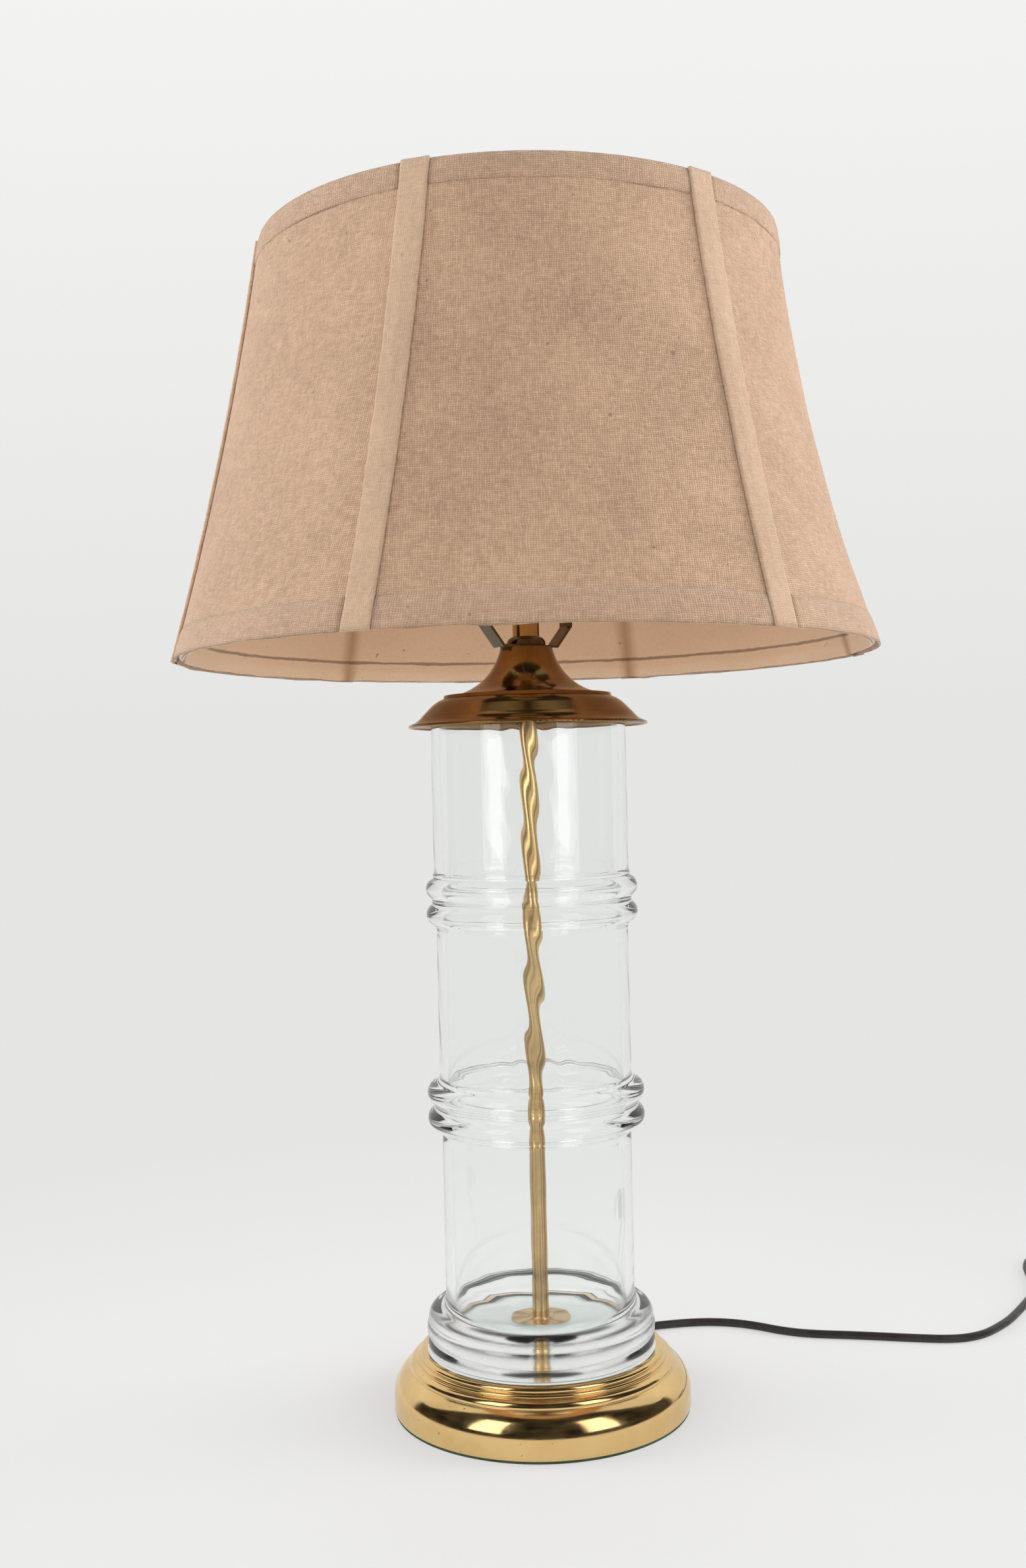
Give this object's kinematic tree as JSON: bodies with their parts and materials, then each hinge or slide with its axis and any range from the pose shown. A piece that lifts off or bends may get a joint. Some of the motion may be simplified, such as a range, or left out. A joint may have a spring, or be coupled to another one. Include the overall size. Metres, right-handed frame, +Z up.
{
  "type": "table lamp",
  "caption": "Table lamp with a ringed clear-glass column on a stepped brass base, a dark brass cap and a panelled coarse cloth shade.",
  "frame": {"origin": "on the table, at the lamp's axis, under the felt pad", "axes": "+Z up along the column, -Y towards the viewer, +X to the right, where the cord runs"},
  "size_m": [0.6601, 0.4782, 0.6952],
  "materials": {
    "brass_polished": "polished",
    "brass_pipe": "polished",
    "brass_antique": "antique satin",
    "brass_socket": "satin",
    "brass_plug": "plain",
    "steel": "zinc plated",
    "white_wire": "painted",
    "cast_weight": "rough",
    "felt": "felt",
    "column_glass": "clear, moulded",
    "clear_cushion": "soft, pale",
    "black_rubber": "matte",
    "cord_black": "matte",
    "black_moulding": "moulded",
    "card": "plain",
    "bulb_white": "frosted",
    "bulb_shell": "plain",
    "burlap": "coarse plain weave",
    "burlap_trim": "coarse plain weave, folded",
    "lining_cloth": "plain weave"
  },
  "bodies": {
    "stand": {"felt_pad": "felt", "base_shell": "brass_polished", "base_weight": "cast_weight", "base_washer": "steel", "base_nut": "steel", "cord_grommet": "black_rubber", "base_cushion": "clear_cushion", "glass_column": "column_glass", "floor_disc": "brass_pipe", "lamp_pipe": "brass_pipe", "cap_cushion": "clear_cushion", "top_cap": "brass_antique", "harp_saddle": "brass_antique", "neck_collar": "brass_antique", "neck_tube": "brass_antique", "harp": "brass_antique", "harp_stud": "brass_antique", "socket_cap": "brass_socket", "socket_shell": "brass_socket", "socket_insulator": "card", "socket_core": "black_moulding", "terminal_screws": "brass_socket", "screw_shell": "brass_socket", "centre_contact": "brass_socket", "inner_lead": "cord_black", "power_cord": "cord_black", "cord_coil": "cord_black", "cord_tail": "cord_black", "plug_body": "black_moulding", "plug_blades": "brass_plug"},
    "sleeve_right": {"harp_sleeve_right": "brass_antique"},
    "sleeve_left": {"harp_sleeve_left": "brass_antique"},
    "knob": {"switch_knob": "black_moulding"},
    "bulb": {"bulb_contact": "bulb_shell", "bulb_insulator": "black_moulding", "bulb_base": "bulb_shell", "bulb_glass": "bulb_white"},
    "shade": {"shade_top_ring": "white_wire", "shade_bottom_ring": "white_wire", "shade_rib_wires": "white_wire", "shade_spider": "white_wire", "shade_cloth": "burlap", "shade_lining": "lining_cloth", "rib_trims": "burlap_trim", "top_hem": "burlap_trim", "bottom_hem": "burlap_trim"},
    "finial_body": {"finial": "brass_antique"}
  },
  "joints": [
    {"name": "shade_turn", "type": "hinge", "parent": "stand", "child": "shade", "pos_m": [0, 0, 0.666], "axis": [0, 0, 1], "continuous": true},
    {"name": "finial_lift", "type": "slide", "parent": "stand", "child": "finial_body", "axis": [0, 0, 1], "range_m": [0, 0.015]},
    {"name": "sleeve_right_lift", "type": "slide", "parent": "stand", "child": "sleeve_right", "axis": [0, 0, 1], "range_m": [0, 0.01]},
    {"name": "sleeve_left_lift", "type": "slide", "parent": "stand", "child": "sleeve_left", "axis": [0, 0, 1], "range_m": [0, 0.01]},
    {"name": "knob_turn", "type": "hinge", "parent": "stand", "child": "knob", "pos_m": [0, 0, 0.5], "axis": [0.5, -0.866, 0], "continuous": true},
    {"name": "bulb_lift", "type": "slide", "parent": "stand", "child": "bulb", "axis": [0, 0, 1], "range_m": [0, 0.026]}
  ]
}
